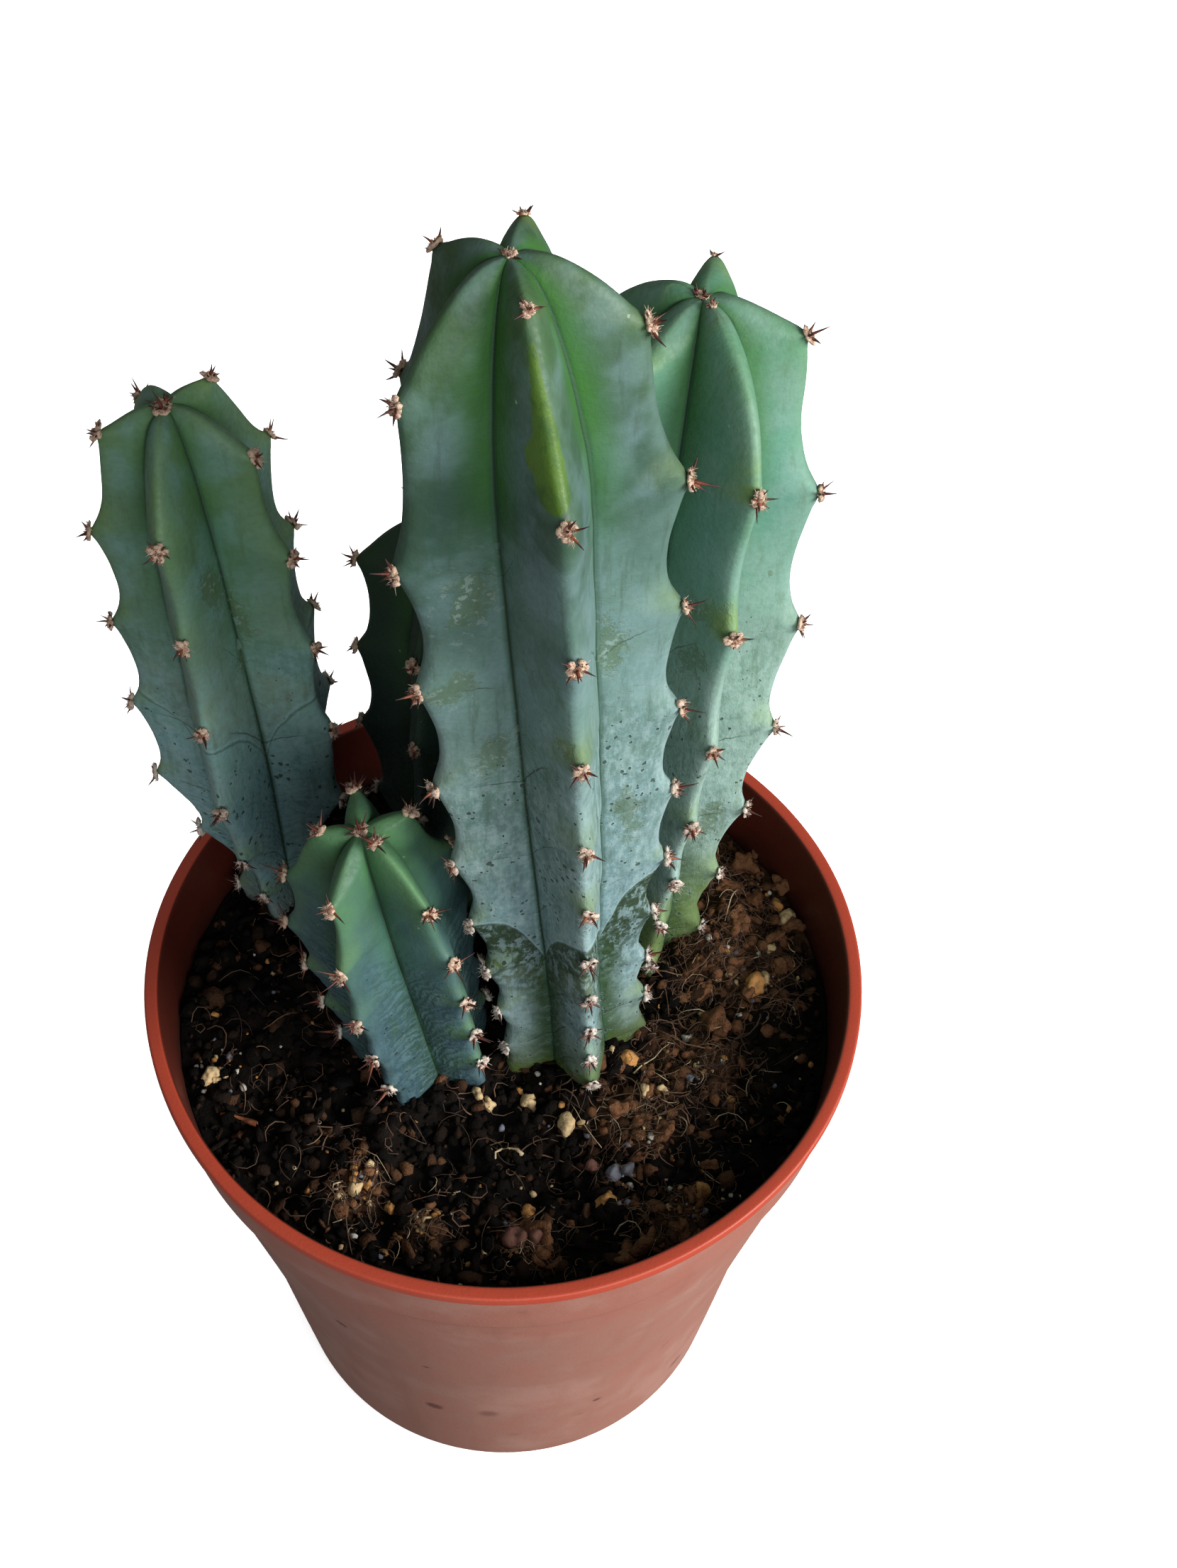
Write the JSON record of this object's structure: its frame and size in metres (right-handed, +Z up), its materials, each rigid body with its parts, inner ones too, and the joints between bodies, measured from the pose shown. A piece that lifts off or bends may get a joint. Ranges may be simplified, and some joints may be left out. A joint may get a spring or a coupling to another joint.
{
  "type": "potted tall cactus",
  "caption": "Clump of upright ribbed blue-green cactus columns with short spines, standing in soil in a round tapered terracotta-coloured nursery pot.",
  "frame": {"origin": "middle of the pot's underside, on the surface the pot stands on", "axes": "+Z up along the pot's axis, -Y towards the side seen in the picture, +X to the right in the picture"},
  "size_m": [0.12, 0.12, 0.267],
  "materials": {
    "terracotta_plastic": "matte, slightly chalky moulded plastic",
    "potting_soil": "rough, crumbly dark peat with brown fibres",
    "cactus_skin": "waxy blue-green skin with a soft satin bloom"
  },
  "bodies": {
    "root": {"pot": "terracotta_plastic", "soil": "potting_soil", "stem_main": "cactus_skin", "stem_right": "cactus_skin", "stem_left": "cactus_skin", "stem_back": "cactus_skin", "stem_small": "cactus_skin"}
  },
  "joints": []
}
